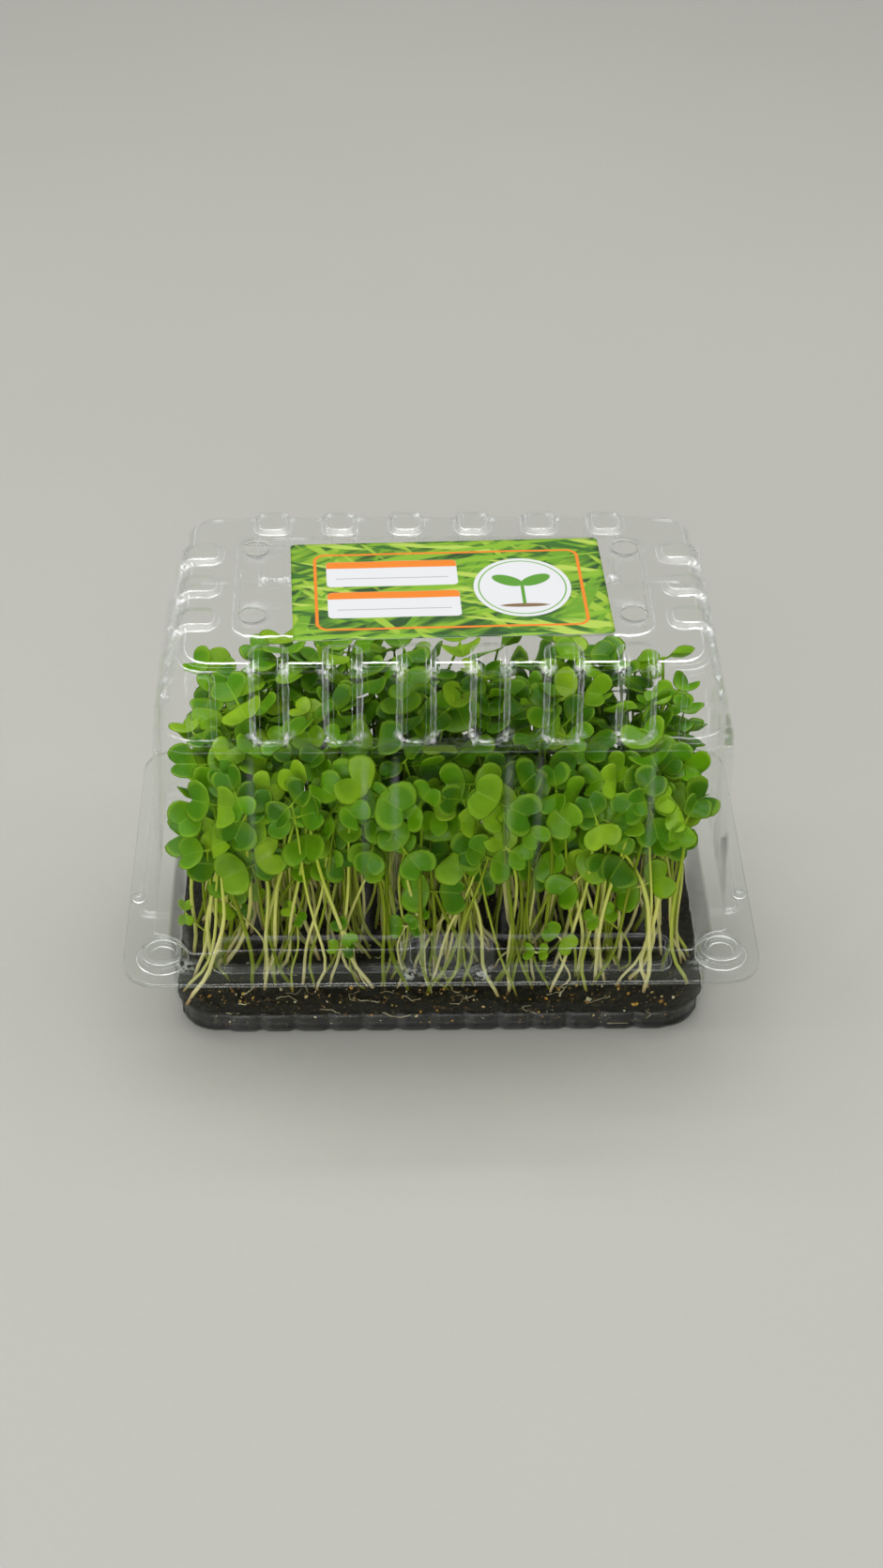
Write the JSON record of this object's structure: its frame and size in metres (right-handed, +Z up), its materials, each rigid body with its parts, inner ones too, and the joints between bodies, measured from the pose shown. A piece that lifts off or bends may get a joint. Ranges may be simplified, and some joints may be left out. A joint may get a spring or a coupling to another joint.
{
  "type": "microgreens tray",
  "caption": "Clear hinged clamshell with a ribbed dome lid, holding live broccoli microgreens in a slab of dark growing medium.",
  "frame": {"origin": "on the table, under the middle of the closed clamshell", "axes": "+X to the right along the long side, +Y to the back where the hinge is, +Z up"},
  "size_m": [0.205, 0.126, 0.1474],
  "materials": {
    "clear_plastic": "clear thermoformed sheet, glossy",
    "soil": "moist crumbly peat and coir mix with pale and tan specks",
    "seedling": "fresh green leaves on pale green-white stems",
    "label_paper": "satin printed paper, grass green with white fields and an orange frame"
  },
  "bodies": {
    "tray": {"clamshell_base": "clear_plastic", "growing_medium": "soil", "seedlings_01": "seedling", "seedlings_02": "seedling", "seedlings_03": "seedling", "seedlings_04": "seedling", "seedlings_05": "seedling", "seedlings_06": "seedling", "seedlings_07": "seedling", "seedlings_08": "seedling", "seedlings_09": "seedling", "seedlings_10": "seedling", "seedlings_11": "seedling", "seedlings_12": "seedling", "seedlings_13": "seedling", "seedlings_14": "seedling", "seedlings_15": "seedling", "seedlings_16": "seedling", "seedlings_17": "seedling", "seedlings_18": "seedling", "seedlings_19": "seedling", "seedlings_20": "seedling", "seedlings_21": "seedling", "seedlings_22": "seedling", "seedlings_23": "seedling", "seedlings_24": "seedling", "seedlings_25": "seedling", "seedlings_26": "seedling", "seedlings_27": "seedling", "seedlings_28": "seedling", "seedlings_29": "seedling", "seedlings_30": "seedling", "seedlings_31": "seedling", "seedlings_32": "seedling", "seedlings_33": "seedling", "seedlings_34": "seedling", "seedlings_35": "seedling", "seedlings_36": "seedling", "seedlings_37": "seedling", "seedlings_38": "seedling", "seedlings_39": "seedling", "seedlings_40": "seedling"},
    "lid": {"clamshell_lid": "clear_plastic", "label": "label_paper"}
  },
  "joints": [
    {"name": "lid_hinge", "type": "hinge", "parent": "tray", "child": "lid", "pos_m": [0, 0.06215, 0.0355], "axis": [-1, 0, 0], "range_deg": [0, 118]}
  ]
}
